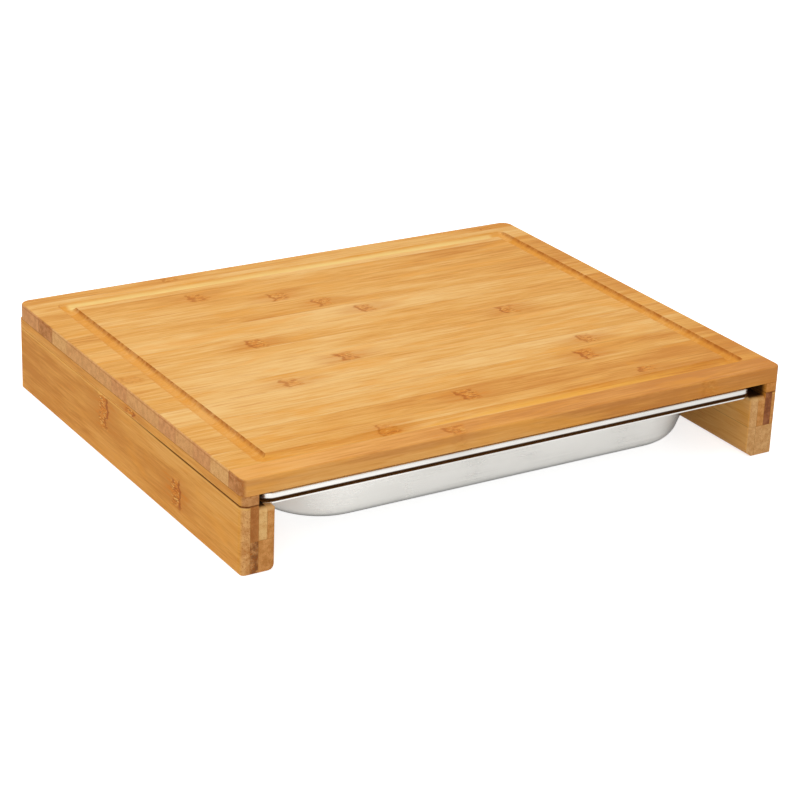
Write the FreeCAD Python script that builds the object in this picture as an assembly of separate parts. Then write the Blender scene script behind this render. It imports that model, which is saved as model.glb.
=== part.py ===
import FreeCAD, Part
import math
import os

# Cutting board on two legs, with two nested steel trays that slide out of the front.
# Millimetres. The origin is on the floor under the middle of the board.
# +X runs along the front edge to the right, +Y from front to back, +Z up.

# Board: a panel of edge-glued staves whose grain runs along X
board_width = 385.0
board_depth = 313.5
board_thickness = 10.6
board_front_corner_radius = 5.0
board_back_corner_radius = 7.5
board_edge_radius = 1.2
board_under_edge_radius = 0.4

# The panel is sawn from a wider blank, so its outermost staves are narrower
full_staves = 13
front_stave_share = 0.75
back_stave_share = 0.5

# Juice groove: a shallow round channel that follows the board's edge
groove_margin = 17.3
groove_width = 9.8
groove_depth = 2.8
groove_side_shift = 2.0

# Legs: each one is a block of glued strips whose grain runs along Y
strip_thickness = 5.4
strips_across = 4
leg_height = 42.7
lower_row_height = 20.5
leg_outer_corner_radius = 5.0
leg_inner_corner_radius = 2.0
leg_foot_radius = 6.0
leg_edge_radius = 1.3

# The inner strips stop short, as a rebated ledge that carries the tray rims
ledge_drop = 2.5
ledge_lead_in = 3.0

# Spacer rails between board and legs hold the slot open for the tray rims
spacer_height = 6.4
spacer_strips = 2
spacer_edge_radius = 1.2
stop_rail_width = 12.0

# Glued dowels
dowel_diameter = 6.0
dowel_glue_gap = 0.1
dowel_depth_in_board = 6.0
dowel_depth_in_leg = 14.0
dowel_depth_in_rail = 5.5
dowels_per_leg = 3
dowels_in_stop_rail = 2
dowel_end_distance = 38.0
stop_dowel_spacing = 200.0

# Trays: pressed steel sheet
sheet_thickness = 0.8
tray_side_clearance = 5.7
tray_front_setback = 3.5
tray_back_clearance = 1.5
tray_side_shift = -2.0
rim_corner_radius = 8.0
side_flange_width = 18.5
front_flange_width = 8.0
wall_draft = 18.0
tray_corner_radius = 50.0
tray_bend_radius = 2.4
tray_floor_radius = 12.0
tray_floor_clearance = 10.2

# The upper tray stands on the floor of the lower one, with its rim held clear above
nest_wall_gap = 1.2
hem_bend_radius = 1.6
hem_gap = 1.8
rim_top_clearance = 2.2

# Places that follow from the sizes above
leg_width = strips_across * strip_thickness
spacer_width = spacer_strips * strip_thickness
board_underside = leg_height + spacer_height
board_top = board_underside + board_thickness
ledge_height = leg_height - ledge_drop
slot_height = board_underside - ledge_height
front = -board_depth / 2
back = board_depth / 2
left = -board_width / 2
right = board_width / 2
slot_width = board_width - 2 * spacer_width
rim_width = slot_width - 2 * tray_side_clearance
rim_front = front + tray_front_setback
rim_back = back - stop_rail_width - tray_back_clearance
rim_depth = rim_back - rim_front
rim_middle_y = (rim_front + rim_back) / 2
hem_height = slot_height - sheet_thickness - hem_gap - rim_top_clearance
draft_angle = math.radians(wall_draft)

# Cutters run this far past the faces they open
cut_margin = 1.0

up = FreeCAD.Vector(0, 0, 1)


def vector(x, y, z):
    return FreeCAD.Vector(x, y, z)


def write_step(shape, node):
    """Write one sub-part to its own STEP file."""
    shape.exportStep("parts/" + node + ".step")


def polar(centre, radius, degrees):
    """Point on a circle in the plane of a profile, which is XZ."""
    angle = math.radians(degrees)
    return vector(centre.x + radius * math.cos(angle), 0, centre.z + radius * math.sin(angle))


def profile_arc(centre, radius, start, end):
    """Arc in the plane of a profile, between two angles in degrees."""
    middle = polar(centre, radius, (start + end) / 2)
    return Part.Arc(polar(centre, radius, start), middle, polar(centre, radius, end)).toShape()


def line(start, end):
    return Part.LineSegment(start, end).toShape()


def rounded_face(width, height, radii):
    """Flat XY face from (0, 0) to (width, height).

    The corner radii run anticlockwise from the corner at the origin.
    """
    corners = [(0, 0), (width, 0), (width, height), (0, height)]
    inward = [(1, 1), (-1, 1), (-1, -1), (1, -1)]
    edges = []
    first_point = None
    last_point = None
    for number in range(4):
        x, y = corners[number]
        step_x, step_y = inward[number]
        radius = radii[number]
        centre = vector(x + step_x * radius, y + step_y * radius, 0)
        start_angle = math.radians(180 + 90 * number)
        arc_points = []
        for turn in (0, 45, 90):
            angle = start_angle + math.radians(turn)
            offset = vector(radius * math.cos(angle), radius * math.sin(angle), 0)
            arc_points.append(centre + offset)
        if last_point is not None:
            edges.append(line(last_point, arc_points[0]))
        if radius > 0:
            edges.append(Part.Arc(*arc_points).toShape())
        if first_point is None:
            first_point = arc_points[0]
        last_point = arc_points[2]
    edges.append(line(last_point, first_point))
    return Part.Face(Part.Wire(edges))


def box_between(low, high):
    """Box from its low corner to its high corner."""
    return Part.makeBox(high[0] - low[0], high[1] - low[1], high[2] - low[2], vector(*low))


def only_solid(shape):
    """The one solid of a boolean's result, with its coplanar faces merged."""
    return shape.removeSplitter().Solids[0]


def mirrored_in_x(shape):
    return shape.mirror(vector(0, 0, 0), vector(1, 0, 0))


# ---- dowel places, shared by every piece that a dowel passes through ----

def leg_dowel_places(side):
    """Dowel axes over one leg; side is -1 on the left and +1 on the right."""
    x = side * (board_width / 2 - spacer_width / 2)
    reach = board_depth - 2 * dowel_end_distance
    step = reach / (dowels_per_leg - 1)
    return [(x, front + dowel_end_distance + number * step) for number in range(dowels_per_leg)]


def stop_dowel_places():
    """Dowel axes along the stop rail."""
    y = back - stop_rail_width / 2
    step = stop_dowel_spacing / (dowels_in_stop_rail - 1)
    return [(-stop_dowel_spacing / 2 + number * step, y) for number in range(dowels_in_stop_rail)]


def pins(places, radius, low, high):
    """Upright round pins at the given places."""
    return [Part.makeCylinder(radius, high - low, vector(x, y, low)) for x, y in places]


def dowel_holes(places, low, high):
    """Cutters for blind dowel holes."""
    return Part.makeCompound(pins(places, dowel_diameter / 2 + dowel_glue_gap, low, high))


# ---- board ----

def groove_section():
    """Round channel section under the board's top face, closed above it."""
    half = groove_width / 2
    rim_left = vector(-half, 0, 0)
    rim_right = vector(half, 0, 0)
    top_left = vector(-half, 0, cut_margin)
    top_right = vector(half, 0, cut_margin)
    bottom = Part.Arc(rim_left, vector(0, 0, -groove_depth), rim_right).toShape()
    edges = [bottom, line(rim_right, top_right), line(top_right, top_left), line(top_left, rim_left)]
    return Part.Face(Part.Wire(edges))


def groove_cutter():
    """Path of a round-nosed cutter along a rectangle, with square inner corners."""
    section = groove_section()
    one_side = box_between((0, -cut_margin, -groove_width), (groove_width, cut_margin, groove_width))
    nose = section.common(one_side).revolve(vector(0, 0, 0), up, 360).Solids[0]
    inset = groove_margin + groove_width / 2
    reach_x = board_width / 2 - inset
    reach_y = board_depth / 2 - inset
    runs = []
    for side in (-1, 1):
        along_y = section.copy()
        along_y.translate(vector(groove_side_shift + side * reach_x, -reach_y, board_top))
        runs.append(along_y.extrude(vector(0, 2 * reach_y, 0)))
        along_x = section.copy()
        along_x.rotate(vector(0, 0, 0), up, 90)
        along_x.translate(vector(groove_side_shift - reach_x, side * reach_y, board_top))
        runs.append(along_x.extrude(vector(2 * reach_x, 0, 0)))
        for end in (-1, 1):
            corner = nose.copy()
            corner.translate(vector(groove_side_shift + side * reach_x, end * reach_y, board_top))
            runs.append(corner)
    return runs[0].multiFuse(runs[1:])


def level_edges(shape, height):
    """Edges that lie flat at a height."""
    return [
        edge for edge in shape.Edges
        if abs(edge.BoundBox.ZMin - height) < 0.01 and abs(edge.BoundBox.ZMax - height) < 0.01
    ]


def board_panel():
    """Whole panel before it is told apart into its staves."""
    front_radius = board_front_corner_radius
    back_radius = board_back_corner_radius
    outline = rounded_face(board_width, board_depth, [front_radius, front_radius, back_radius, back_radius])
    outline.translate(vector(left, front, board_underside))
    panel = outline.extrude(vector(0, 0, board_thickness))
    panel = panel.makeFillet(board_edge_radius, level_edges(panel, board_top))
    panel = panel.makeFillet(board_under_edge_radius, level_edges(panel, board_underside))
    panel = panel.cut(groove_cutter())
    hole_end = board_underside + dowel_depth_in_board
    for places in (leg_dowel_places(-1), leg_dowel_places(1), stop_dowel_places()):
        panel = panel.cut(dowel_holes(places, board_underside - cut_margin, hole_end))
    return panel


def stave_edges():
    """Y of each glue line, from the front face to the back face."""
    pitch = board_depth / (full_staves + front_stave_share + back_stave_share)
    edges = [front]
    for number in range(full_staves + 1):
        edges.append(front + (front_stave_share + number) * pitch)
    edges.append(back)
    return edges


def write_board():
    panel = board_panel()
    edges = stave_edges()
    for number in range(len(edges) - 1):
        low = (left - cut_margin, edges[number], board_underside - cut_margin)
        high = (right + cut_margin, edges[number + 1], board_top + cut_margin)
        stave = only_solid(panel.common(box_between(low, high)))
        write_step(stave, "board_stave_%02d" % (number + 1))


# ---- legs and rails ----

def leg_block(height, top_front_radius):
    """Left leg up to a height, rounded in plan, from the front and from the side."""
    outer = leg_outer_corner_radius
    inner = leg_inner_corner_radius
    edge = leg_edge_radius
    outline = rounded_face(leg_width, board_depth, [outer, inner, inner, outer])
    outline.translate(vector(left, front, 0))
    upright = outline.extrude(vector(0, 0, height))
    from_front = rounded_face(leg_width, height, [edge, leg_foot_radius, inner, edge])
    from_front.rotate(vector(0, 0, 0), vector(1, 0, 0), 90)
    from_front.translate(vector(left, back, 0))
    along = from_front.extrude(vector(0, -board_depth, 0))
    from_side = rounded_face(board_depth, height, [edge, edge, edge, top_front_radius])
    from_side.rotate(vector(0, 0, 0), vector(1, 0, 0), 90)
    from_side.rotate(vector(0, 0, 0), up, 90)
    from_side.translate(vector(left, front, 0))
    across = from_side.extrude(vector(leg_width, 0, 0))
    block = upright.common(along).common(across)
    hole_end = leg_height - dowel_depth_in_leg
    return block.cut(dowel_holes(leg_dowel_places(-1), hole_end, leg_height + cut_margin))


def leg_strip(block, first_column, last_column, low, high):
    """Strips first_column to last_column of a left leg block, counted from outside."""
    low_corner = (left + (first_column - 1) * strip_thickness, front - cut_margin, low)
    high_corner = (left + last_column * strip_thickness, back + cut_margin, high)
    return only_solid(block.common(box_between(low_corner, high_corner)))


def write_legs():
    under_spacer = leg_block(leg_height, leg_edge_radius)
    under_tray = leg_block(ledge_height, ledge_lead_in)
    blocks = {1: under_spacer, 2: under_spacer, 3: under_tray, 4: under_tray}
    split = lower_row_height
    left_strips = [
        ("left_leg_outer_strip", 1, 1, 0, leg_height),
        ("left_leg_second_strip_top", 2, 2, split, leg_height),
        ("left_leg_second_strip_bottom", 2, 2, 0, split),
        ("left_leg_third_strip_top", 3, 3, split, ledge_height),
        ("left_leg_inner_strip_top", 4, 4, split, ledge_height),
        ("left_leg_inner_strip_bottom", 3, 4, 0, split),
    ]
    right_strips = [
        ("right_leg_outer_strip_top", 1, 1, split, leg_height),
        ("right_leg_second_strip_top", 2, 2, split, leg_height),
        ("right_leg_third_strip_top", 3, 3, split, ledge_height),
        ("right_leg_inner_strip_top", 4, 4, split, ledge_height),
        ("right_leg_outer_strip_bottom", 1, 3, 0, split),
        ("right_leg_inner_strip_bottom", 4, 4, 0, split),
    ]
    for node, first_column, last_column, low, high in left_strips:
        write_step(leg_strip(blocks[last_column], first_column, last_column, low, high), node)
    for node, first_column, last_column, low, high in right_strips:
        strip = leg_strip(blocks[last_column], first_column, last_column, low, high)
        write_step(mirrored_in_x(strip), node)


def spacer_rail():
    """Left spacer rail, flush with the outside of board and leg."""
    outer = leg_outer_corner_radius
    outline = rounded_face(spacer_width, board_depth, [outer, 0, 0, outer])
    outline.translate(vector(left, front, leg_height))
    rail = outline.extrude(vector(0, 0, spacer_height))
    section = rounded_face(spacer_width, spacer_height, [spacer_edge_radius, 0, 0, 0])
    section.rotate(vector(0, 0, 0), vector(1, 0, 0), 90)
    section.translate(vector(left, back, leg_height))
    rail = rail.common(section.extrude(vector(0, -board_depth, 0)))
    holes = dowel_holes(leg_dowel_places(-1), leg_height - cut_margin, board_underside + cut_margin)
    return only_solid(rail.cut(holes))


def stop_rail():
    """Rail under the board's back edge that stops the tray rims."""
    low = (-slot_width / 2, back - stop_rail_width, ledge_height)
    high = (slot_width / 2, back, board_underside)
    hole_end = board_underside - dowel_depth_in_rail
    holes = dowel_holes(stop_dowel_places(), hole_end, board_underside + cut_margin)
    return only_solid(box_between(low, high).cut(holes))


def write_rails():
    rail = spacer_rail()
    write_step(rail, "left_spacer_rail")
    write_step(mirrored_in_x(rail), "right_spacer_rail")
    write_step(stop_rail(), "back_stop_rail")


def write_dowels():
    radius = dowel_diameter / 2
    board_end = board_underside + dowel_depth_in_board
    leg_places = leg_dowel_places(-1) + leg_dowel_places(1)
    leg_pins = pins(leg_places, radius, leg_height - dowel_depth_in_leg, board_end)
    write_step(Part.makeCompound(leg_pins), "leg_dowels")
    stop_pins = pins(stop_dowel_places(), radius, board_underside - dowel_depth_in_rail, board_end)
    write_step(Part.makeCompound(stop_pins), "stop_rail_dowels")


# ---- trays ----

def ring(section, half_x, half_y):
    """Carry an XZ section round a rectangle whose corners turn about its own origin."""
    pieces = []
    for quarter in range(4):
        reach_x, reach_y = (half_x, half_y) if quarter % 2 == 0 else (half_y, half_x)
        placed = section.copy()
        placed.translate(vector(reach_x, reach_y, 0))
        corner = placed.revolve(vector(reach_x, reach_y, 0), up, 90)
        run = placed.extrude(vector(0, -2 * reach_y, 0))
        for piece in (corner, run):
            piece.rotate(vector(0, 0, 0), up, 90 * quarter)
            pieces.append(piece)
    return pieces


def pan_section(corner_radius, depth, floor_radius):
    """Section of the pressed wall, from the floor at the corner's axis to the flange.

    corner_radius is where the inner wall would meet the flange's top at z = 0, and
    depth is how far the floor's top lies below it.
    """
    turn = math.pi / 2 - draft_angle
    tangent_top = tray_bend_radius * math.tan(turn / 2)
    tangent_floor = floor_radius * math.tan(turn / 2)
    floor_corner = corner_radius - depth * math.tan(draft_angle)
    bend_centre = vector(corner_radius + tangent_top, 0, -tray_bend_radius)
    floor_centre = vector(floor_corner - tangent_floor, 0, floor_radius - depth)
    flange_end = corner_radius + tangent_top
    bend_under = tray_bend_radius - sheet_thickness
    floor_under = floor_radius + sheet_thickness
    wall_up = 180 - wall_draft
    wall_down = 360 - wall_draft
    floor_top = vector(0, 0, -depth)
    floor_bottom = vector(0, 0, -depth - sheet_thickness)
    edges = [
        line(floor_top, polar(floor_centre, floor_radius, 270)),
        profile_arc(floor_centre, floor_radius, 270, wall_down),
        line(polar(floor_centre, floor_radius, wall_down), polar(bend_centre, tray_bend_radius, wall_up)),
        profile_arc(bend_centre, tray_bend_radius, wall_up, 90),
        line(vector(flange_end, 0, 0), vector(flange_end, 0, -sheet_thickness)),
        profile_arc(bend_centre, bend_under, 90, wall_up),
        line(polar(bend_centre, bend_under, wall_up), polar(floor_centre, floor_under, wall_down)),
        profile_arc(floor_centre, floor_under, wall_down, 270),
        line(polar(floor_centre, floor_under, 270), floor_bottom),
        line(floor_bottom, floor_top),
    ]
    return Part.Face(Part.Wire(edges)), flange_end


def flat_rim_section():
    """Edge of the flange, cut plain."""
    section = rounded_face(rim_corner_radius, sheet_thickness, [0, 0, 0, 0])
    section.translate(vector(0, -sheet_thickness, 0))
    section.rotate(vector(0, 0, 0), vector(1, 0, 0), 90)
    return section


def hemmed_rim_section():
    """Edge of the flange, turned down into a hem."""
    outside = rim_corner_radius
    inside = outside - sheet_thickness
    centre = vector(outside - hem_bend_radius, 0, -hem_bend_radius)
    inner_bend = hem_bend_radius - sheet_thickness
    edges = [
        line(vector(0, 0, 0), polar(centre, hem_bend_radius, 90)),
        profile_arc(centre, hem_bend_radius, 90, 0),
        line(vector(outside, 0, -hem_bend_radius), vector(outside, 0, -hem_height)),
        line(vector(outside, 0, -hem_height), vector(inside, 0, -hem_height)),
        line(vector(inside, 0, -hem_height), vector(inside, 0, -hem_bend_radius)),
        profile_arc(centre, inner_bend, 0, 90),
        line(polar(centre, inner_bend, 90), vector(0, 0, -sheet_thickness)),
        line(vector(0, 0, -sheet_thickness), vector(0, 0, 0)),
    ]
    return Part.Face(Part.Wire(edges))


def pressed_tray(rim_section, mouth_width, mouth_depth, corner_radius, depth, floor_radius, rim_top):
    """Tray with its flange's top at rim_top; the mouth is where wall and flange lines meet."""
    pan, flange_end = pan_section(corner_radius, depth, floor_radius)
    pan_x = mouth_width / 2 - corner_radius
    pan_y = mouth_depth / 2 - corner_radius
    rim_x = rim_width / 2 - rim_corner_radius
    rim_y = rim_depth / 2 - rim_corner_radius
    floor = box_between((-pan_x, -pan_y, -depth - sheet_thickness), (pan_x, pan_y, -depth))
    flange = box_between((-rim_x, -rim_y, -sheet_thickness), (rim_x, rim_y, 0))
    hole_x = pan_x + flange_end
    hole_y = pan_y + flange_end
    hole = rounded_face(2 * hole_x, 2 * hole_y, [flange_end] * 4)
    hole.translate(vector(-hole_x, -hole_y, -sheet_thickness - cut_margin))
    flange = flange.cut(hole.extrude(vector(0, 0, sheet_thickness + 2 * cut_margin)))
    pieces = ring(pan, pan_x, pan_y) + ring(rim_section, rim_x, rim_y) + [flange]
    tray = only_solid(floor.multiFuse(pieces))
    tray.translate(vector(tray_side_shift, rim_middle_y, rim_top))
    return tray


def write_trays():
    mouth_width = rim_width - 2 * side_flange_width
    mouth_depth = rim_depth - 2 * front_flange_width
    lower_rim_top = ledge_height + sheet_thickness
    lower_depth = lower_rim_top - tray_floor_clearance - sheet_thickness
    lower = pressed_tray(flat_rim_section(), mouth_width, mouth_depth, tray_corner_radius,
                         lower_depth, tray_floor_radius, lower_rim_top)
    write_step(lower, "lower_tray")

    # The upper wall runs inside the lower wall at an even gap, so its mouth, which lies
    # higher, is wider by the draft and narrower by one sheet and the gap.
    upper_rim_top = lower_rim_top + hem_gap + hem_height
    rise = upper_rim_top - lower_rim_top
    inset = (sheet_thickness + nest_wall_gap) / math.cos(draft_angle) - rise * math.tan(draft_angle)
    upper_depth = lower_depth + rise - sheet_thickness
    upper = pressed_tray(hemmed_rim_section(), mouth_width - 2 * inset, mouth_depth - 2 * inset,
                         tray_corner_radius - inset, upper_depth, tray_floor_radius, upper_rim_top)
    write_step(upper, "upper_tray")


os.makedirs("parts", exist_ok=True)
write_board()
write_legs()
write_rails()
write_dowels()
write_trays()
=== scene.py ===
import math
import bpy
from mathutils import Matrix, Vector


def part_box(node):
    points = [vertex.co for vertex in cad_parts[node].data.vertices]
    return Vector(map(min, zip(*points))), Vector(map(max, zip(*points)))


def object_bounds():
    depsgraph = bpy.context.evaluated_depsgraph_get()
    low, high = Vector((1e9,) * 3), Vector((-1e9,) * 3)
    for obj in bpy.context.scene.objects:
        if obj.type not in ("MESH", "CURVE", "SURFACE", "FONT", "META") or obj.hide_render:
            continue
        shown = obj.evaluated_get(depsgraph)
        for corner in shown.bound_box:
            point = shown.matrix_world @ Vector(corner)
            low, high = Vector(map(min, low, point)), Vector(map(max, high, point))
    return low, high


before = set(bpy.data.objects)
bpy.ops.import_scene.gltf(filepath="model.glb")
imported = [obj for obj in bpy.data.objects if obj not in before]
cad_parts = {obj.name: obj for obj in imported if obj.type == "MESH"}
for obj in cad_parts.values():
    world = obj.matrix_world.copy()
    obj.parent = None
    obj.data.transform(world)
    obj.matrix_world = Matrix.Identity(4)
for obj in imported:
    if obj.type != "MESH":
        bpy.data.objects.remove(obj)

from types import SimpleNamespace

import bpy

cadLow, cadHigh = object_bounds()
print("frame loaded:", len(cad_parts), "CAD nodes")

bpy.ops.object.select_all(action="DESELECT")


def addNode(tree, kind, settings=None, inputs=None):
    made = tree.nodes.new(kind)
    for key, value in (settings or {}).items():
        setattr(made, key, value)
    for key, value in (inputs or {}).items():
        if isinstance(value, bpy.types.NodeSocket):
            tree.links.new(value, made.inputs[key])
        else:
            made.inputs[key].default_value = value
    return made


def maths(tree, operation, first, second=0.0):
    return addNode(tree, "ShaderNodeMath", {"operation": operation}, {0: first, 1: second}).outputs[0]


def chained(tree, operation, values):
    made = values[0]
    for value in values[1:]:
        made = maths(tree, operation, made, value)
    return made


def total(tree, *values):
    return chained(tree, "ADD", values)


def product(tree, *values):
    return chained(tree, "MULTIPLY", values)


def largest(tree, *values):
    return chained(tree, "MAXIMUM", values)


def absolute(tree, value):
    return maths(tree, "ABSOLUTE", value)


def distance(tree, value, centre):
    return absolute(tree, maths(tree, "SUBTRACT", value, centre))


def inverse(tree, value):
    return maths(tree, "SUBTRACT", 1.0, value)


def remap(tree, value, fromLow, fromHigh, toLow=0.0, toHigh=1.0, smooth=True):
    kind = "SMOOTHSTEP" if smooth else "LINEAR"
    made = addNode(tree, "ShaderNodeMapRange", {"interpolation_type": kind},
                   {"Value": value, "From Min": fromLow, "From Max": fromHigh,
                    "To Min": toLow, "To Max": toHigh})
    return made.outputs[0]


def mixColour(tree, factor, first, second):
    made = tree.nodes.new("ShaderNodeMix")
    made.data_type = "RGBA"
    for key, value in ((0, factor), (6, first), (7, second)):    # the colour mix's own sockets
        if isinstance(value, bpy.types.NodeSocket):
            tree.links.new(value, made.inputs[key])
        else:
            made.inputs[key].default_value = value if key == 0 else (*value, 1.0)
    return made.outputs[2]


seedSteps = (1.0, 1.7, 0.6)    # a seed moves a noise this far along each axis


def noiseAt(tree, place, scale, detail, roughness, seed, distortion=0.0):
    moved = addNode(tree, "ShaderNodeMapping", {"vector_type": "POINT"},
                    {"Vector": place, "Location": [seed * step for step in seedSteps], "Scale": scale})
    made = addNode(tree, "ShaderNodeTexNoise", {"noise_dimensions": "3D"},
                   {"Vector": moved.outputs[0], "Scale": 1.0, "Detail": detail,
                    "Roughness": roughness, "Distortion": distortion})
    return made.outputs["Fac"]


def startMaterial(name):
    material = bpy.data.materials.new(name)
    material.use_nodes = True
    tree = material.node_tree
    tree.nodes.clear()
    shader = addNode(tree, "ShaderNodeBsdfPrincipled")
    output = addNode(tree, "ShaderNodeOutputMaterial")
    tree.links.new(shader.outputs[0], output.inputs["Surface"])
    return material, tree, shader


def addBump(tree, shader, height, strength, depth):
    bump = addNode(tree, "ShaderNodeBump", inputs={"Strength": strength, "Distance": depth, "Height": height})
    tree.links.new(bump.outputs[0], shader.inputs["Normal"])


def giveMaterial(node, material):
    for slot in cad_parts[node].material_slots:
        slot.material = material


# Bamboo. Places are in metres. A pair says where a mark starts and where it is full: a place, a noise's value
# for a "Cut", or how squarely the surface faces that way for a "Facing".

bambooLook = {
    "pale": (0.97, 0.585, 0.205),
    "mid": (0.87, 0.432, 0.096),
    "deep": (0.70, 0.275, 0.046),
    "fibreWeight": 0.85,
    "streakWeight": 1.55,
    "patchWeight": 1.40,
    "stroke": (0.72, 0.260, 0.036),       # short darker fibres
    "strokeCut": (0.57, 0.70),
    "strokeStrength": 0.48,
    "warm": (0.92, 0.395, 0.050),         # faint orange clouds
    "warmCut": (0.50, 0.70),
    "warmStrength": 0.42,
    "knuckle": (0.46, 0.108, 0.003),
    "knuckleTint": (0.76, 0.245, 0.014),
    "knucklePale": (0.98, 0.60, 0.15),
    "glue": (0.45, 0.18, 0.035),
    "glueWidth": (0.00028, 0.000056),
    # rounded edges: paler from wear and a painted highlight
    "edge": (0.92, 0.50, 0.13),
    "edgeStrength": 0.30,
    # painted shade on the groove's floor and far walls
    "groove": (0.84, 0.35, 0.032),
    "grooveGold": (0.98, 0.525, 0.085),   # painted highlight along its front run
    "groovePale": (1.00, 0.72, 0.27),     # painted highlight along its back run
    "grooveEnd": (0.44, 0.125, 0.007),
    "brownEdge": (0.66, 0.265, 0.070),
    # painted shadow in the joint between leg and spacer rail, where it opens
    "seamShadow": (0.190, 0.050, 0.004),
    "seamHighlight": (0.96, 0.55, 0.15),        # painted highlight on the edge just below the joint
    "slotShade": (0.05, 0.018, 0.004),       # painted shade deep in the slot
    # pale wear and a painted highlight on the ledge's front end
    "ledgeWearAndHighlight": (0.96, 0.60, 0.24),
    "roughness": (0.50, 0.60),
    "endRoughness": 0.16,                 # end grain is rougher by this
    "specular": 0.12,
    "bump": 0.3,
    "bumpDepth": 0.00012,
    "pitDepth": 0.8,                      # how deep strokes, glue lines and dots lie below the fibres
}
amberLook = {
    **bambooLook,
    "pale": (0.95, 0.500, 0.125),
    "mid": (0.86, 0.395, 0.070),
    "deep": (0.67, 0.260, 0.036),
}
frontLook = {
    **amberLook,
    "pale": (0.96, 0.505, 0.150),
    "mid": (0.86, 0.395, 0.092),
    "deep": (0.68, 0.265, 0.055),
}
strip = {
    # what one strip has of its own, unless its row below says otherwise
    "look": bambooLook,
    "tone": 0.45,             # 0 pale, 1 deep
    "slope": 0.0,             # how much deeper it gets towards +X, or towards the back
    "knuckles": (),           # (along the grain, middle across, half width, strength)
    "endPale": (0.70, 0.40, 0.20),
    "endDeep": (0.50, 0.24, 0.11),
    "endDots": 0.35,
    "groove": 0.0,            # how dark the juice groove's end walls are
    "brownEdge": 0.0,         # brown streak under the slab's front top edge
    "seamShadow": 0.0,              # painted shadow: a dark line at the joint between leg and spacer rail
    "ledge": 0.0,             # pale wear and a painted highlight on the ledge's front end
    "slotShade": 0.0,            # how much painted shade the slot's inside gets behind its front
    "pocketFaces": "side",    # and on which faces: down, up or side
    "glueLine": 0.3,
}
grainNoises = {
    # waves per metre along the fibres, across and up, then detail, roughness, seed step and distortion
    "fibre": (44, 1000, 1000, 3, 0.62, 0.0, 0.4),
    "streak": (24, 500, 500, 4, 0.64, 3.1, 0.9),
    "patch": (8, 48, 48, 2, 0.50, 7.7, 0.5),
    "stroke": (32, 900, 900, 2, 0.50, 11.3, 0.3),
    "warmth": (16, 70, 70, 3, 0.60, 15.9, 0.6),
    "fleck": (190, 820, 820, 2, 0.60, 20, 1.0),
    "golden": (190, 780, 780, 2, 0.60, 24, 1.0),
    "trail": (42, 760, 760, 3, 0.60, 29, 0.0),
    "wobble": (70, 170, 170, 2, 0.50, 33, 0.0),
    "endGrain": (3, 260, 260, 3, 0.60, 31, 0.0),
    "endDots": (20, 1500, 1200, 2, 0.60, 35, 0.0),
    "rub": (160, 160, 160, 3, 0.60, 37, 0.0),
    "endWall": (60, 240, 240, 3, 0.60, 41, 0.0),
    "brownEdge": (11, 90, 160, 3, 0.60, 43, 0.0),
    "grooveRun": (14, 420, 420, 3, 0.60, 45, 0.0),
}
boardTop = cadHigh[2]
boardFront = cadLow[1]
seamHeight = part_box("left_spacer_rail")[0][2]
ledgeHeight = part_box("left_leg_inner_strip_top")[1][2]
noiseMiddle = 0.5             # a noise's own average
midDepth = 0.5                # where the mid tone lies between pale, 0, and deep, 1


def surfaceOf(tree, grain, seed, own):
    # the sockets and values that every layer of one strip's bamboo is worked out from
    where = addNode(tree, "ShaderNodeTexCoord")
    x, y, height = addNode(tree, "ShaderNodeSeparateXYZ", inputs={0: where.outputs["Object"]}).outputs
    normal = addNode(tree, "ShaderNodeSeparateXYZ", inputs={0: where.outputs["Normal"]}).outputs
    sides = [absolute(tree, part) for part in normal]
    alongX = grain == "X"
    return SimpleNamespace(
        place=where.outputs["Object"], seed=seed, own=own, look=own["look"], alongX=alongX,
        x=x, y=y, height=height, along=x if alongX else y, across=y if alongX else x,
        knuckleWay=y if alongX else height,    # the way that a knuckle crosses the strip
        normal=normal, sides=sides, facing=sides[0 if alongX else 1])


def grainNoise(tree, at, name):
    lengthwise, sideways, upwards, detail, roughness, step, distortion = grainNoises[name]
    scale = (lengthwise, sideways, upwards) if at.alongX else (sideways, lengthwise, upwards)
    return noiseAt(tree, at.place, scale, detail, roughness, at.seed + step, distortion)


margins = ((0.168, 0.190, 0.16), (-0.160, -0.180, 0.16))    # from x, to x, how much deeper than the middle
slopeReach = 0.19


def paintGrain(tree, at):
    look = at.look
    fibre = grainNoise(tree, at, "fibre")
    weights = look["fibreWeight"] + look["streakWeight"] + look["patchWeight"]
    depth = total(tree, at.own["tone"] - noiseMiddle * weights,
                  product(tree, fibre, look["fibreWeight"]),
                  product(tree, grainNoise(tree, at, "streak"), look["streakWeight"]),
                  product(tree, grainNoise(tree, at, "patch"), look["patchWeight"]),
                  product(tree, at.along, at.own["slope"] / slopeReach))
    if at.alongX:
        depth = total(tree, depth, *(remap(tree, at.along, start, end, 0, deeper)
                                     for start, end, deeper in margins))
    colour = mixColour(tree, remap(tree, depth, 0, midDepth, smooth=False), look["pale"], look["mid"])
    colour = mixColour(tree, remap(tree, depth, midDepth, 1, smooth=False), colour, look["deep"])
    strokes = remap(tree, grainNoise(tree, at, "stroke"), *look["strokeCut"], 0, look["strokeStrength"])
    colour = mixColour(tree, strokes, colour, look["stroke"])
    warmth = remap(tree, grainNoise(tree, at, "warmth"), *look["warmCut"], 0, look["warmStrength"])
    return mixColour(tree, warmth, colour, look["warm"]), depth, fibre, strokes


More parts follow.
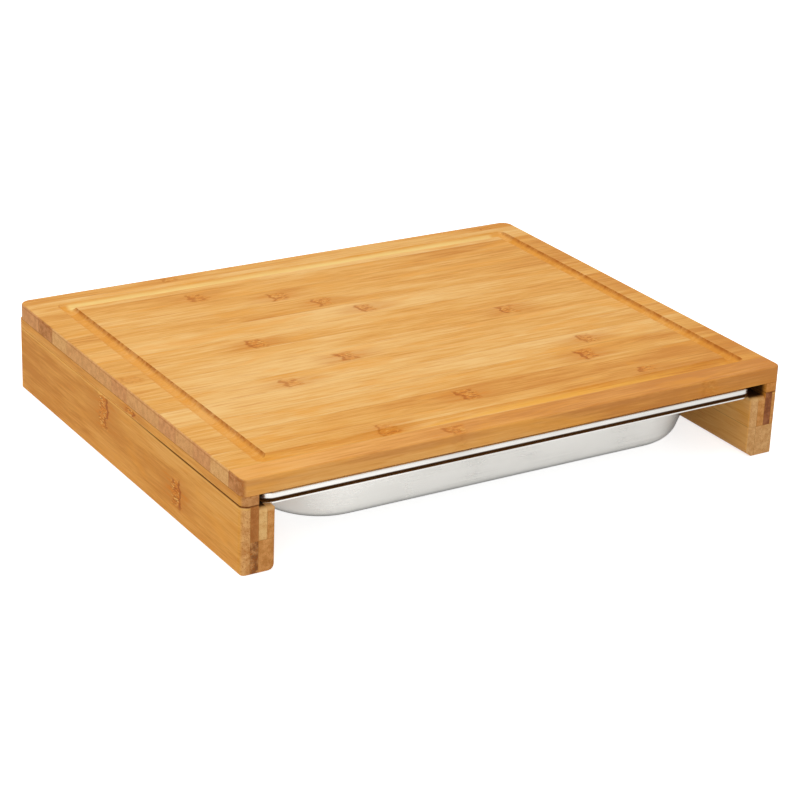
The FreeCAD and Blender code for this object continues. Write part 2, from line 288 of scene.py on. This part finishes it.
knuckleShape = {
    # how far from the knuckle's middle each of its marks reaches along the grain
    "core": (0.0080, 0.0040),
    "halo": (0.024, 0.004),
    "cloud": (0.034, 0.006),
    "line": (0.0019, 0.0005),
    "lineAt": 0.0048,
    "lineSlant": 0.12,
    "bend": 0.012,            # how far it wanders along the grain
    "sway": 0.005,            # and across it
    "softSides": 0.55,        # full inside this much of its half width
    "fleckCut": (0.50, 0.60),
    "goldenCut": (0.52, 0.62),
    "trailCut": (0.52, 0.66),
    "cloudStrength": 0.45,
    "coreStrength": 0.55,
    "haloStrength": 0.75,
    "paleStrength": 0.60,
    "fleckStrength": 0.66,
    "lineStrength": 0.64,
}


def paintKnuckles(tree, at, colour):
    # brown and golden flecks across the strip, a thin slanted line, and streaks that trail off
    if not at.own["knuckles"]:
        return colour
    look, shape = at.look, knuckleShape
    fleck, golden, trail = (remap(tree, grainNoise(tree, at, name), *shape[name + "Cut"])
                            for name in ("fleck", "golden", "trail"))
    wobble = maths(tree, "SUBTRACT", grainNoise(tree, at, "wobble"), noiseMiddle)
    for start, middle, halfWidth, strength in at.own["knuckles"]:
        bent = maths(tree, "SUBTRACT", total(tree, at.along, product(tree, wobble, shape["bend"])), start)
        reach = absolute(tree, bent)
        swayed = total(tree, at.knuckleWay, product(tree, wobble, shape["sway"]))
        aside = maths(tree, "SUBTRACT", swayed, middle)
        inside = remap(tree, absolute(tree, aside), halfWidth, halfWidth * shape["softSides"])
        core = product(tree, inside, remap(tree, reach, *shape["core"]))
        slanted = total(tree, bent, product(tree, aside, shape["lineSlant"]), shape["lineAt"])
        line = product(tree, inside, remap(tree, absolute(tree, slanted), *shape["line"]))
        halo = product(tree, inside, trail, remap(tree, reach, *shape["halo"]))
        cloud = product(tree, inside, remap(tree, reach, *shape["cloud"]), shape["cloudStrength"] * strength)
        colour = mixColour(tree, cloud, colour, look["deep"])
        tint = largest(tree, product(tree, core, shape["coreStrength"] * strength),
                       product(tree, halo, shape["haloStrength"] * strength))
        colour = mixColour(tree, tint, colour, look["knuckleTint"])
        gold = product(tree, core, golden, shape["paleStrength"] * strength)
        colour = mixColour(tree, gold, colour, look["knucklePale"])
        mark = largest(tree, product(tree, core, fleck, shape["fleckStrength"] * strength),
                       product(tree, line, shape["lineStrength"] * strength))
        colour = mixColour(tree, mark, colour, look["knuckle"])
    return colour


endShape = {
    "endFacing": (0.28, 0.75),
    "patchCut": (0.36, 0.64),
    "dotCut": (0.52, 0.66),
}


def endGrain(tree, at):
    # shows where the surface faces along the fibres
    mask = remap(tree, at.facing, *endShape["endFacing"])
    patches = remap(tree, grainNoise(tree, at, "endGrain"), *endShape["patchCut"])
    colour = mixColour(tree, patches, at.own["endPale"], at.own["endDeep"])
    dots = remap(tree, grainNoise(tree, at, "endDots"), *endShape["dotCut"], 0, at.own["endDots"])
    return mask, mixColour(tree, dots, colour, at.look["knuckle"]), dots


grooveShape = {
    "reachX": (0.187, 0.186),             # it lies inside this, left and right
    "reachY": (0.1515, 0.1505),           # and front and back
    "bottom": (0.0035, 0.0031),           # and above this, measured down from the board's top
    "floor": (0.0002, 0.0020),            # where its floor's own tone sets in, on the way down
    "leftRun": (-0.155, -0.167, 0.50),    # from x, to x, how much painted shade on its floor
    "rightRun": (0.160, 0.171, 0.50),
    "longRuns": (0.168, 0.164),           # the front and back runs lie inside this
    # painted highlights along the front and back runs
    "frontRun": (-0.128, -0.131),
    "frontGold": (0.0, 0.6),              # least and most
    "backRun": (0.128, 0.131),
    "backPale": (0.7, 1.0),
    "runCut": (0.38, 0.60),
    # painted shade on the groove's walls that face the front
    "farWallFacing": (-0.45, -0.80),
    "farWall": 0.12,
    "endWallFacing": (0.40, 0.85),        # its walls that cut across the fibres
    "endWallCut": (0.34, 0.62),
    "endWallTone": (1.0, 0.55),
    "lineBelowTop": 0.0014,               # a thin line of painted shade along the top of the slab's end grain
    "lineWidth": (0.0006, 0.0002),
    "lineStrength": 0.35,
}


def belowTop(drops):
    return [boardTop - drop for drop in drops]


def paintGroove(tree, at, colour, endMask, endColour):
    # the juice groove is cut through the strip: painted shade on the floor of its left and right runs and on
    # its far walls, painted highlights on its front and back runs, and dark where its walls cut the fibres
    look, shape = at.look, grooveShape
    inner = product(tree, remap(tree, absolute(tree, at.along), *shape["reachX"]),
                    remap(tree, absolute(tree, at.across), *shape["reachY"]),
                    remap(tree, at.height, *belowTop(shape["bottom"])))
    sunk = product(tree, inner, remap(tree, at.height, *belowTop(shape["floor"])))
    # painted shade on the floor of the left and right runs
    floorShade = [remap(tree, at.along, start, end, 0, depth)
              for start, end, depth in (shape["leftRun"], shape["rightRun"])]
    colour = mixColour(tree, product(tree, sunk, total(tree, *floorShade)), colour, look["groove"])

    # painted highlights on the floor of the front and back runs
    longRunFloor = product(tree, sunk, remap(tree, absolute(tree, at.along), *shape["longRuns"]))
    uneven = grainNoise(tree, at, "grooveRun")
    for run, amount, tone in (("frontRun", "frontGold", "grooveGold"), ("backRun", "backPale", "groovePale")):
        along = product(tree, remap(tree, at.across, *shape[run]),
                        remap(tree, uneven, *shape["runCut"], *shape[amount]))
        colour = mixColour(tree, product(tree, longRunFloor, along), colour, look[tone])

    # painted shade on the groove's walls that face the front
    farWall = product(tree, inner, remap(tree, at.normal[1], *shape["farWallFacing"], 0, shape["farWall"]))
    colour = mixColour(tree, farWall, colour, look["groove"])
    endWall = product(tree, inner, remap(tree, at.facing, *shape["endWallFacing"]), at.own["groove"])
    mottled = remap(tree, grainNoise(tree, at, "endWall"), *shape["endWallCut"], *shape["endWallTone"])
    colour = mixColour(tree, product(tree, endWall, mottled), colour, look["grooveEnd"])

    outside = inverse(tree, inner)
    # painted shade: a thin dark line along the top of the end grain
    line = remap(tree, distance(tree, at.height, boardTop - shape["lineBelowTop"]),
                 *shape["lineWidth"], 0, shape["lineStrength"])
    return colour, product(tree, endMask, outside), mixColour(tree, line, endColour, look["knuckle"]), outside


levelFacing = (0.90, 0.98)    # a glue line shows on faces that lie level with the neighbours'


def glueLines(tree, at, node):
    # along the borders of the strip
    low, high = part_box(node)
    acrossAxis = 1 if at.alongX else 0
    lines = []
    for coordinate, axis, flat in ((at.across, acrossAxis, at.sides[2]),
                                   (at.height, 2, at.sides[acrossAxis])):
        gap = maths(tree, "MINIMUM", maths(tree, "SUBTRACT", coordinate, low[axis]),
                    maths(tree, "SUBTRACT", high[axis], coordinate))
        level = remap(tree, largest(tree, flat, at.facing), *levelFacing)
        lines.append(product(tree, remap(tree, gap, *at.look["glueWidth"]), level))
    return largest(tree, *lines)


edgeShape = {
    "roundFacing": (0.97, 0.80),
    "rubCut": (0.35, 0.65),
}


def edgeWearAndHighlight(tree, at, endMask, outside):
    # handled edges are a little paler, from wear and a painted highlight
    edges = remap(tree, largest(tree, *at.sides), *edgeShape["roundFacing"], 0, at.look["edgeStrength"])
    rub = remap(tree, grainNoise(tree, at, "rub"), *edgeShape["rubCut"])
    return product(tree, edges, inverse(tree, endMask), outside, rub)


brownEdgeShape = {
    "belowTop": (0.0058, 0.0030),
    "frontFacing": (0.35, 0.80),
    "streakCut": (0.38, 0.60),
}


def brownEdge(tree, at):
    shape = brownEdgeShape
    return product(tree, remap(tree, at.height, *belowTop(shape["belowTop"])),
                   remap(tree, at.sides[1], *shape["frontFacing"]), at.own["brownEdge"],
                   remap(tree, grainNoise(tree, at, "brownEdge"), *shape["streakCut"]))


seamShape = {
    "open": (0.010, -0.080),       # the joint gapes from here towards the front
    "lipHighlightBelow": 0.0013,            # its painted highlight on the leg's edge, this far below the joint
    "lipHighlight": (0.0009, 0.0002),
    "lipHighlightStrength": 0.5,
    # painted light over the joint where it is closed, against the shade of its groove
    "closedJointLight": (0.0014, 0.0006),
    "closedJointLightStrength": 0.7,
    "line": (0.0008, 0.0003),
}


def paintSeam(tree, at, colour):
    look, shape = at.look, seamShape
    # painted shadow in the joint towards the front, a painted highlight on the leg's edge just below it, and
    # painted light over the closed joint further back
    openness = remap(tree, at.y, *shape["open"])
    lipHighlight = remap(tree, distance(tree, at.height, seamHeight - shape["lipHighlightBelow"]),
                *shape["lipHighlight"], 0, shape["lipHighlightStrength"])
    colour = mixColour(tree, product(tree, lipHighlight, openness), colour, look["seamHighlight"])
    closedJointLight = remap(tree, distance(tree, at.height, seamHeight), *shape["closedJointLight"], 0, shape["closedJointLightStrength"])
    colour = mixColour(tree, product(tree, closedJointLight, inverse(tree, openness)), colour, look["seamHighlight"])
    line = remap(tree, distance(tree, at.height, seamHeight), *shape["line"], 0, at.own["seamShadow"])
    return mixColour(tree, product(tree, line, openness), colour, look["seamShadow"])


def belowLedge(drops):
    return [ledgeHeight - drop for drop in drops]


def behindFront(steps):
    return [boardFront + step for step in steps]


ledgeShape = {
    "belowLedge": (0.0030, 0.0010),
    "behindFront": (0.012, 0.004),
}


def wornAndHighlitLedge(tree, at):
    return product(tree, remap(tree, at.height, *belowLedge(ledgeShape["belowLedge"]), 0, at.own["ledge"]),
                   remap(tree, at.y, *behindFront(ledgeShape["behindFront"])))


pocketShape = {
    "behindFront": (0.0008, 0.0050),
    "inner": (0.1690, 0.1730),            # the slot's closed sides lie outside this
    "outer": (0.1900, 0.1885),            # and inside this
    "sideOuter": (0.1860, 0.1850),        # but the upright faces only inside this
    "belowLedge": (0.0020, 0.0010),
    "facing": (0.5, 0.9),
}


def paintedSlotShade(tree, at):
    # painted shade on the slot's closed sides, from a few millimetres behind the front
    shape = pocketShape
    faces = at.own["pocketFaces"]
    reach = absolute(tree, at.x)
    deep = product(tree, remap(tree, at.y, *behindFront(shape["behindFront"])),
                   remap(tree, reach, *shape["inner"]), at.own["slotShade"], remap(tree, reach, *shape["outer"]))
    if faces == "down":
        start, full = shape["facing"]
        return product(tree, deep, remap(tree, at.normal[2], -start, -full))
    if faces == "up":
        return product(tree, deep, remap(tree, at.normal[2], *shape["facing"]),
                       remap(tree, at.height, *belowLedge(shape["belowLedge"])))
    return product(tree, deep, remap(tree, at.sides[0], *shape["facing"]),
                   remap(tree, reach, *shape["sideOuter"]))


def bamboo(name, node, grain, seed, own):
    own = {**strip, **own}
    look = own["look"]
    material, tree, shader = startMaterial(name)
    at = surfaceOf(tree, grain, seed, own)

    colour, depth, fibre, strokes = paintGrain(tree, at)
    colour = paintKnuckles(tree, at, colour)
    endMask, endColour, dots = endGrain(tree, at)
    outside = 1.0                         # outside the groove
    if own["groove"]:
        colour, endMask, endColour, outside = paintGroove(tree, at, colour, endMask, endColour)
    colour = mixColour(tree, endMask, colour, endColour)
    glue = glueLines(tree, at, node)
    colour = mixColour(tree, product(tree, glue, own["glueLine"]), colour, look["glue"])
    # paler rounded edges: wear and a painted highlight
    colour = mixColour(tree, edgeWearAndHighlight(tree, at, endMask, outside), colour, look["edge"])
    if own["brownEdge"]:
        colour = mixColour(tree, brownEdge(tree, at), colour, look["brownEdge"])
    # painted shadow and highlight at the joint between leg and spacer rail
    if own["seamShadow"]:
        colour = paintSeam(tree, at, colour)
    if own["ledge"]:
        colour = mixColour(tree, wornAndHighlitLedge(tree, at), colour, look["ledgeWearAndHighlight"])
    # painted shade inside the slot
    if own["slotShade"]:
        colour = mixColour(tree, paintedSlotShade(tree, at), colour, look["slotShade"])

    tree.links.new(colour, shader.inputs["Base Color"])
    rough = total(tree, remap(tree, depth, 0, 1, *look["roughness"], smooth=False),
                  product(tree, endMask, look["endRoughness"]))
    tree.links.new(rough, shader.inputs["Roughness"])
    shader.inputs["Specular IOR Level"].default_value = look["specular"]
    pits = product(tree, total(tree, strokes, glue, product(tree, dots, endMask)), look["pitDepth"])
    addBump(tree, shader, maths(tree, "SUBTRACT", fibre, pits), look["bump"], look["bumpDepth"])
    giveMaterial(node, material)


# The board's end grain, seen along its left and right edges
olive = {"endPale": (0.90, 0.51, 0.19), "endDeep": (0.80, 0.42, 0.14)}
greyTan = {"endPale": (0.86, 0.45, 0.165), "endDeep": (0.74, 0.365, 0.125)}
rosy = {"endPale": (0.82, 0.40, 0.15), "endDeep": (0.69, 0.31, 0.11)}
reddish = {"endPale": (0.70, 0.32, 0.11), "endDeep": (0.50, 0.195, 0.055), "endDots": 0.6}

seeds = {"staveStep": 5.3, "legStart": 90, "legStep": 4.7, "stopRail": 171, "legDowels": 181,
         "stopRailDowels": 191}

# Staves from the front, 1, to the back, 15
staves = {
    1: {"tone": 0.66, "slope": 0.36, "brownEdge": 0.5, "look": frontLook, **reddish,
        "knuckles": ((-0.0487, -0.1500, 0.0075, 0.9), (0.1350, -0.1567, 0.0020, 0.35))},
    2: {"tone": 0.56, "slope": 0.28, **olive,
        "knuckles": ((-0.0825, -0.1295, 0.0080, 0.8), (0.1120, -0.1220, 0.0050, 1.0))},
    3: {"tone": 0.68, "slope": 0.36, **rosy, "knuckles": ((-0.0130, -0.1080, 0.0095, 1.15),)},
    4: {"tone": 0.38, "slope": 0.28, **greyTan, "knuckles": ((0.0925, -0.0858, 0.0095, 1.25),)},
    5: {"tone": 0.20, "slope": 0.34, **rosy, "knuckles": ((0.1080, -0.0633, 0.0085, 0.9),)},
    6: {"tone": 0.40, "slope": 0.18, **greyTan, "knuckles": ((-0.0995, -0.0445, 0.0080, 0.8),)},
    7: {"tone": 0.32, "slope": 0.12, **greyTan, "knuckles": ((-0.0467, -0.0220, 0.0090, 1.0),)},
    8: {"tone": 0.47, "slope": 0.22, **rosy,
        "knuckles": ((0.0905, 0.0030, 0.0090, 1.05), (-0.1840, 0.0030, 0.0085, 0.4))},
    9: {"tone": 0.42, "slope": 0.18, **greyTan, "knuckles": ((-0.0875, 0.0217, 0.0090, 1.0),)},
    10: {"tone": 0.34, "slope": 0.16, **greyTan, "knuckles": ((0.0075, 0.0467, 0.0085, 0.9),)},
    11: {"tone": 0.52, "slope": 0.14, **greyTan, "knuckles": ((-0.0125, 0.0690, 0.0085, 0.9),)},
    12: {"tone": 0.54, "slope": 0.12, **olive, "knuckles": ((-0.0345, 0.0905, 0.0085, 0.9),)},
    13: {"tone": 0.59, "slope": 0.12, **reddish, "knuckles": ((-0.0840, 0.1117, 0.0085, 0.9),)},
    14: {"tone": 0.20, "slope": 0.06, **rosy},
    15: {"tone": 0.60, "slope": 0.04, **rosy,
         "knuckles": ((-0.0850, 0.1517, 0.0050, 0.7), (0.1700, 0.1500, 0.0030, 0.7))},
}
for number, own in staves.items():
    bamboo("bambooStave%02d" % number, "board_stave_%02d" % number, "X", number * seeds["staveStep"],
           {"groove": 0.88, "slotShade": 0.95, "pocketFaces": "down", **own})
print("staves done")

# The legs' and rails' end grain
tanEnd = {"endPale": (0.84, 0.49, 0.20), "endDeep": (0.70, 0.36, 0.125), "endDots": 0.4}
brownEnd = {"endPale": (0.56, 0.225, 0.06), "endDeep": (0.44, 0.155, 0.036), "endDots": 0.3}
amberEnd = {"endPale": (0.79, 0.375, 0.115), "endDeep": (0.62, 0.26, 0.065), "endDots": 0.45}
speckledEnd = {"endPale": (0.86, 0.47, 0.17), "endDeep": (0.66, 0.30, 0.09), "endDots": 0.6}
maroonEnd = {"endPale": (0.40, 0.150, 0.060), "endDeep": (0.25, 0.082, 0.030), "endDots": 0.45}
grainyEnd = {"endPale": (0.66, 0.32, 0.11), "endDeep": (0.28, 0.105, 0.03), "endDots": 0.9}
yellowEnd = {"endPale": (0.92, 0.57, 0.22), "endDeep": (0.82, 0.46, 0.155), "endDots": 0.3}
tawnyEnd = {"endPale": (0.70, 0.34, 0.12), "endDeep": (0.52, 0.22, 0.07), "endDots": 0.5}
orangeEnd = {"endPale": (0.78, 0.335, 0.085), "endDeep": (0.66, 0.265, 0.055), "endDots": 0.3}

sidePocket = {"pocketFaces": "side"}
legStrips = {
    "left_leg_outer_strip": {"tone": 0.68, "slope": 0.08, "seamShadow": 0.9, **speckledEnd,
                             "knuckles": ((0.0252, 0.033, 0.015, 1.45), (-0.0745, 0.018, 0.011, 1.45))},
    "left_leg_second_strip_top": {"tone": 0.75, "slotShade": 0.9, **sidePocket, **brownEnd},
    "left_leg_second_strip_bottom": {"tone": 0.75, **grainyEnd},
    "left_leg_third_strip_top": {"tone": 0.35, "ledge": 0.7, "slotShade": 0.985, **yellowEnd},
    "left_leg_inner_strip_top": {"tone": 0.55, "ledge": 0.6, **amberEnd,
                                 "knuckles": ((0.04, 0.030, 0.010, 0.8),)},
    "left_leg_inner_strip_bottom": {"tone": 0.55, **amberEnd, "knuckles": ((-0.09, 0.010, 0.009, 0.8),)},
    "right_leg_outer_strip_top": {"tone": 0.55, "seamShadow": 0.5, **amberEnd,
                                  "knuckles": ((-0.03, 0.031, 0.010, 0.8),)},
    "right_leg_second_strip_top": {"tone": 0.75, "slotShade": 0.9, **sidePocket, **maroonEnd},
    "right_leg_third_strip_top": {"tone": 0.60, "ledge": 0.4, "slotShade": 0.985, **amberEnd},
    "right_leg_inner_strip_top": {"tone": 0.78, "slope": 0.55, "look": frontLook, "ledge": 0.5,
                                  "slotShade": 0.985, **tanEnd, "knuckles": ((0.07, 0.030, 0.010, 0.8),)},
    "right_leg_outer_strip_bottom": {"tone": 0.50, **tanEnd, "knuckles": ((0.02, 0.010, 0.009, 0.8),)},
    "right_leg_inner_strip_bottom": {"tone": 0.74, "slope": 0.55, "look": frontLook, **tanEnd,
                                     "knuckles": ((-0.06, 0.010, 0.009, 0.8),)},
    "left_spacer_rail": {"tone": 0.58, "seamShadow": 0.9, "slotShade": 0.95, **sidePocket, **tawnyEnd,
                         "knuckles": ((-0.013, 0.0455, 0.003, 1.5),)},
    "right_spacer_rail": {"tone": 0.55, "seamShadow": 0.5, "slotShade": 0.95, **sidePocket, **orangeEnd,
                          "knuckles": ((-0.05, 0.0455, 0.003, 0.8),)},
}
for number, (node, own) in enumerate(legStrips.items()):
    bamboo("bamboo_" + node, node, "Y", seeds["legStart"] + number * seeds["legStep"],
           {"look": amberLook, "pocketFaces": "up", "glueLine": 0.6, **own})
bamboo("bamboo_back_stop_rail", "back_stop_rail", "X", seeds["stopRail"],
       {"tone": 0.55, "knuckles": ((0.04, 0.1475, 0.006, 0.8),)})
bamboo("wood_leg_dowels", "leg_dowels", "X", seeds["legDowels"], {"tone": 0.3, **yellowEnd})
bamboo("wood_stop_rail_dowels", "stop_rail_dowels", "X", seeds["stopRailDowels"], {"tone": 0.3, **yellowEnd})
print("legs and rails done")

steelLook = {
    "pale": (0.69, 0.68, 0.65),
    "dull": (0.62, 0.61, 0.58),
    "lineWeight": 0.25,
    "smearWeight": 0.75,
    "lineWaves": 900,                    # per metre, across the fine drawn lines
    "lineLength": 14,                    # and along them
    "lineNoise": (2, 0.5),               # detail and roughness
    "smearWaves": 22,
    "smearNoise": (3, 0.5),
    "flatSeed": 2,                       # seed steps of the floor's lines and of the smears
    "smearSeed": 5,
    "paintedSheen": (0.81, 0.80, 0.765),       # painted sheen, a little brighter on its front left
    "paintedSheenStrength": 0.7,
    "under": (0.38, 0.38, 0.365),        # painted dark reflection where the pan turns under
    "underStrength": 0.8,
    "legReflection": (0.20, 0.195, 0.185),      # painted reflection of the leg on its right wall
    "legReflectionStrength": 0.9,
    "rimShade": (0.34, 0.125, 0.022),    # brown dark between the two rims, on the lower one
    "hemShade": (0.085, 0.030, 0.005),   # and under the upper one's hem
    "edgeTint": (0.50, 0.50, 0.50),      # darker where it is seen edge on
    "roughness": (0.22, 0.32),
    "shadeRoughness": 0.4,
    "blendCut": (0.38, 0.62),
    "roughCut": (0.35, 0.65),
    "bump": 0.04,
    "bumpDepth": 0.00003,
}
steelPlaces = {
    "frontLeftX": (-0.03, -0.12), "frontLeftY": (-0.100, -0.125),
    "rightX": (0.08, 0.12),
    "lowerFlange": (0.0400, 0.0405),     # heights of the lower tray's flange
    "flangeFacing": (0.45, 0.75),
    "hemTop": (0.0437, 0.0431),          # and of the shade below the upper tray's hem
    "hemBottom": (0.0403, 0.0409),
    "hemFacing": (0.35, 0.10),
    "flatFacing": (0.75, 0.95),
    "underFacing": (-0.50, -0.84),
    "rightFacing": (0.28, 0.72),
}


def lowerShade(tree, height, up):
    return product(tree, remap(tree, height, *steelPlaces["lowerFlange"]),
                   remap(tree, up, *steelPlaces["flangeFacing"]))


def upperShade(tree, height, up):
    return product(tree, remap(tree, height, *steelPlaces["hemTop"]),
                   remap(tree, height, *steelPlaces["hemBottom"]),
                   remap(tree, up, *steelPlaces["hemFacing"]))


def steel(name, node, seed, shadeAt, shadeTone):
    look = steelLook
    material, tree, shader = startMaterial(name)
    where = addNode(tree, "ShaderNodeTexCoord")
    place = where.outputs["Object"]
    x, y, height = addNode(tree, "ShaderNodeSeparateXYZ", inputs={0: place}).outputs
    right, _, up = addNode(tree, "ShaderNodeSeparateXYZ", inputs={0: where.outputs["Normal"]}).outputs

    # fine drawn lines: level ones round the walls, and left to right on floor and flanges
    waves, length = look["lineWaves"], look["lineLength"]
    onWalls = noiseAt(tree, place, (length, length, waves), *look["lineNoise"], seed)
    onFloors = noiseAt(tree, place, (length, waves, length), *look["lineNoise"], seed + look["flatSeed"])
    flat = remap(tree, absolute(tree, up), *steelPlaces["flatFacing"])
    lines = total(tree, product(tree, inverse(tree, flat), onWalls), product(tree, flat, onFloors))
    smear = noiseAt(tree, place, (look["smearWaves"],) * 3, *look["smearNoise"], seed + look["smearSeed"])
    blend = total(tree, product(tree, lines, look["lineWeight"]), product(tree, smear, look["smearWeight"]))
    colour = mixColour(tree, remap(tree, blend, *look["blendCut"]), look["pale"], look["dull"])

    # painted sheen towards the front left
    sheenFrontLeft = product(tree, remap(tree, x, *steelPlaces["frontLeftX"], 0, look["paintedSheenStrength"]),
                        remap(tree, y, *steelPlaces["frontLeftY"]))
    colour = mixColour(tree, sheenFrontLeft, colour, look["paintedSheen"])
    # painted dark reflection where the pan turns under
    under = remap(tree, up, *steelPlaces["underFacing"], 0, look["underStrength"])
    colour = mixColour(tree, under, colour, look["under"])
    # painted reflection of the leg on the right wall
    paintedLegReflection = product(tree, remap(tree, right, *steelPlaces["rightFacing"]),
                        remap(tree, x, *steelPlaces["rightX"]), look["legReflectionStrength"])
    colour = mixColour(tree, paintedLegReflection, colour, look["legReflection"])
    shade = shadeAt(tree, height, up)
    colour = mixColour(tree, shade, colour, look[shadeTone])

    tree.links.new(colour, shader.inputs["Base Color"])
    tree.links.new(remap(tree, shade, 0, 1, 1, 0), shader.inputs["Metallic"])
    rough = total(tree, remap(tree, blend, *look["roughCut"], *look["roughness"]),
                  product(tree, shade, look["shadeRoughness"]))
    tree.links.new(rough, shader.inputs["Roughness"])
    shader.inputs["Specular Tint"].default_value = (*look["edgeTint"], 1.0)
    addBump(tree, shader, lines, look["bump"], look["bumpDepth"])
    giveMaterial(node, material)


steel("steelLower", "lower_tray", 3.0, lowerShade, "rimShade")
steel("steelUpper", "upper_tray", 8.0, upperShade, "hemShade")
print("steel done")

studio = {
    "floorSize": 30,
    "floor": 0.86,
    "floorRoughness": 0.9,
    "floorSeen": 0.75,         # added white that the camera sees
    "floorMirrored": 0.55,     # and that the steel mirrors
    "world": 0.50,
    "aim": (0, 0, 0.05),
    "topPower": 11.1, "topSize": 1.6, "topPlace": (-0.30, 0.05, 1.5),
    "frontPower": 2.4, "frontSize": 1.2, "frontPlace": (-0.70, -1.50, 0.50),
}

bpy.ops.mesh.primitive_plane_add(size=studio["floorSize"], location=(0, 0, 0))
floor = bpy.context.object
floor.name = "studio_floor"
material, tree, shader = startMaterial("studioFloor")
shader.inputs["Base Color"].default_value = (studio["floor"], studio["floor"], studio["floor"], 1)
shader.inputs["Roughness"].default_value = studio["floorRoughness"]
path = addNode(tree, "ShaderNodeLightPath").outputs
mirrored = largest(tree, path["Is Glossy Ray"], path["Is Transmission Ray"])
white = total(tree, product(tree, path["Is Camera Ray"], studio["floorSeen"]),
              product(tree, mirrored, studio["floorMirrored"]))
shader.inputs["Emission Color"].default_value = (1, 1, 1, 1)
tree.links.new(white, shader.inputs["Emission Strength"])
floor.data.materials.append(material)

# the world lights at its own strength, and is white where it is seen or mirrored
world = bpy.data.worlds.new("studioWorld")
bpy.context.scene.world = world
world.use_nodes = True
tree = world.node_tree
tree.nodes.clear()
path = addNode(tree, "ShaderNodeLightPath").outputs
seen = largest(tree, path["Is Camera Ray"], path["Is Glossy Ray"], path["Is Transmission Ray"])
strength = total(tree, studio["world"], product(tree, seen, 1.0 - studio["world"]))
background = addNode(tree, "ShaderNodeBackground", inputs={"Color": (1, 1, 1, 1), "Strength": strength})
output = addNode(tree, "ShaderNodeOutputWorld")
tree.links.new(background.outputs[0], output.inputs["Surface"])


def softbox(which):
    place = studio[which + "Place"]
    lamp = bpy.data.lights.new(which + "Softbox", "AREA")
    lamp.shape = "SQUARE"
    lamp.size = studio[which + "Size"]
    lamp.energy = studio[which + "Power"]
    holder = bpy.data.objects.new(which + "Softbox", lamp)
    bpy.context.scene.collection.objects.link(holder)
    holder.location = place
    towardX, towardY, towardZ = (a - b for a, b in zip(studio["aim"], place))
    tilt = math.atan2(math.hypot(towardX, towardY), -towardZ)
    holder.rotation_euler = (tilt, 0, math.atan2(-towardX, towardY))


softbox("top")
softbox("front")

view = {
    "place": (-0.75461, -1.20511, 0.61225),
    "turn": (67.1274, -2.1279, -31.4073),     # degrees
    "lens": 106.608,
    "sensor": 36.0,
    "nearest": 0.05,
}
lensData = bpy.data.cameras.new("camera")
lensData.lens = view["lens"]
lensData.sensor_width = view["sensor"]
lensData.clip_start = view["nearest"]
camera = bpy.data.objects.new("camera", lensData)
bpy.context.scene.collection.objects.link(camera)
camera.location = view["place"]
camera.rotation_euler = [math.radians(angle) for angle in view["turn"]]
bpy.context.scene.camera = camera
bpy.context.scene.view_settings.view_transform = "Standard"
print("stage done")
